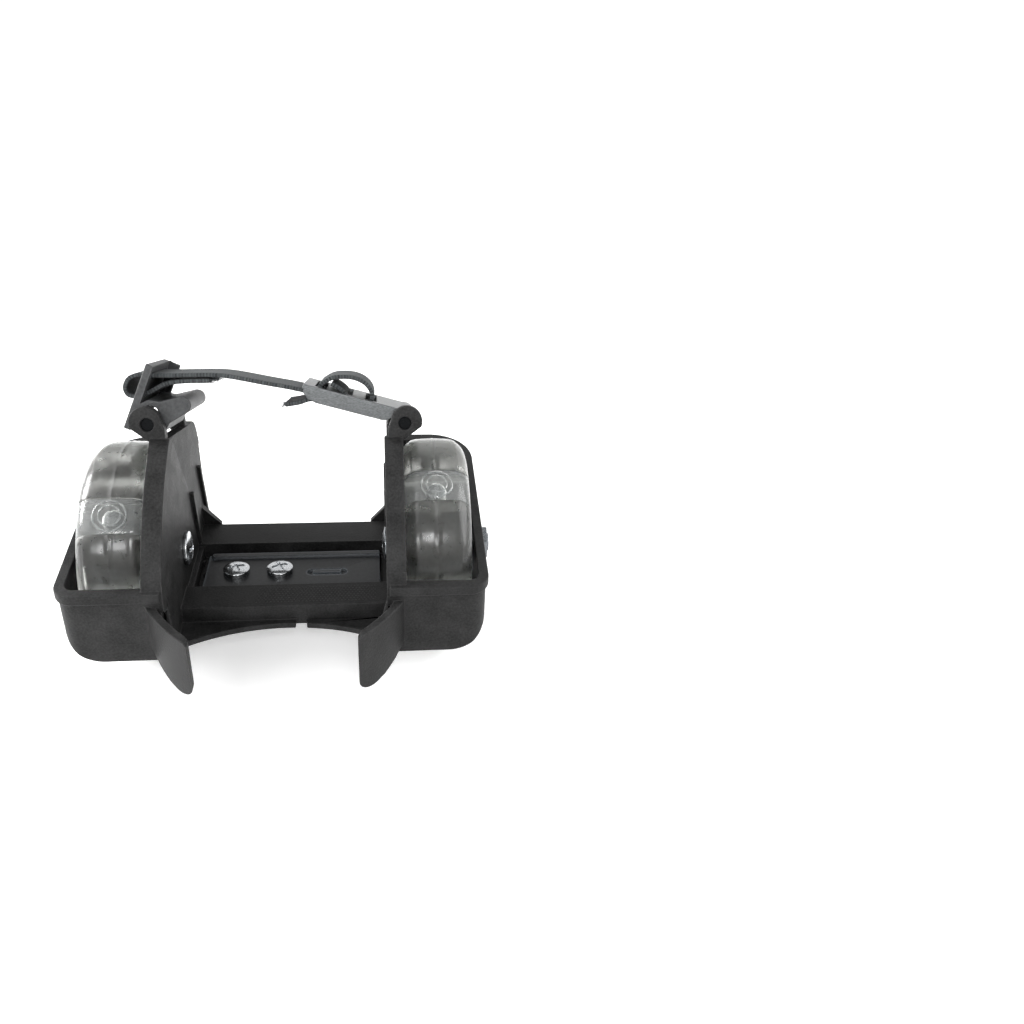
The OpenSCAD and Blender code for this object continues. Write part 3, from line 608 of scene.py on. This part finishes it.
def seen_directly(tree):
    """Gives 1 for rays from the camera and for mirrored or refracted rays."""
    ray = add(tree, "ShaderNodeLightPath")
    first = add(tree, "ShaderNodeMath", {0: ray.outputs["Is Camera Ray"], 1: ray.outputs["Is Glossy Ray"]},
                operation="MAXIMUM")
    return add(tree, "ShaderNodeMath", {0: first.outputs[0], 1: ray.outputs["Is Transmission Ray"]},
               operation="MAXIMUM").outputs[0]


scene = bpy.context.scene
scene.view_settings.view_transform = "Standard"
world = bpy.data.worlds.new("studio")
scene.world = world
world.use_nodes = True
sky = world.node_tree
back = sky.nodes["Background"]
back.inputs["Color"].default_value = (1, 1, 1, 1)
white = {"Value": seen_directly(sky), "To Min": WORLD_LIGHT, "To Max": WORLD_SEEN}
strength = add(sky, "ShaderNodeMapRange", white)
sky.links.new(strength.outputs["Result"], back.inputs["Strength"])

paper, paper_tree, paper_shader = surface("white_paper_sweep", base_color=(0.85, 0.85, 0.85, 1),
                                          roughness=0.9, specular_ior_level=0.1, emission_color=(1, 1, 1, 1))
glow = {"Value": seen_directly(paper_tree), "To Min": 0.0, "To Max": PAPER_LIFT}
lift = add(paper_tree, "ShaderNodeMapRange", glow)
paper_tree.links.new(lift.outputs["Result"], paper_shader.inputs["Emission Strength"])
bm = bmesh.new()
bmesh.ops.create_grid(bm, x_segments=4, y_segments=4, size=FLOOR_HALF)
mesh = bpy.data.meshes.new("floor")
bm.to_mesh(mesh)
bm.free()
mesh.materials.append(paper)
floor = bpy.data.objects.new("floor", mesh)
floor.location.z = FLOOR_Z
scene.collection.objects.link(floor)

# Each round lamp has a place, a width and a power; the four flashes make the paired highlights on the treads
key = bpy.data.lights.new("key_sun", "SUN")
key.energy = 1.3
key.angle = math.radians(50)
placed("key_sun", key, (-0.7, -0.1, 0.75))
for name, place, size, power in (("fill_softbox", (-0.34, -0.23, 0.12), 0.34, 1.0),
                                 ("side_softbox", (0.7, 0.0, 0.4), 0.7, 5.5),
                                 ("back_softbox", (-0.5, 0.2, 0.24), 0.35, 5.0),
                                 ("flash_1", (-0.151, -0.27, 0.224), 0.05, 0.13),
                                 ("flash_2", (-0.09, -0.27, 0.236), 0.05, 0.13),
                                 ("flash_3", (0.034, -0.27, 0.254), 0.05, 0.13),
                                 ("flash_4", (0.064, -0.27, 0.254), 0.05, 0.13)):
    disk = bpy.data.lights.new(name, "AREA")
    disk.shape = "DISK"
    disk.size = size
    disk.energy = power
    placed(name, disk, place)
# the fill doesn't show in glossy surfaces, so nothing reflects it as a disc
bpy.data.objects["fill_softbox"].visible_glossy = False

camera = bpy.data.objects.new("camera", bpy.data.cameras.new("camera"))
camera.data.lens = 34.463
camera.data.sensor_width = 36
camera.data.clip_start = 0.01
camera.location = (0.03162, -0.26886, 0.21405)
pan = math.radians(8.621)
dip = math.radians(30.977)
roll = math.radians(3.415)
aim = Vector((math.sin(pan) * math.cos(dip), math.cos(pan) * math.cos(dip), -math.sin(dip)))
camera.rotation_euler = (aim.to_track_quat("-Z", "Y").to_matrix().to_4x4()
                         @ Matrix.Rotation(roll, 4, "Z")).to_euler()
scene.collection.objects.link(camera)
scene.camera = camera
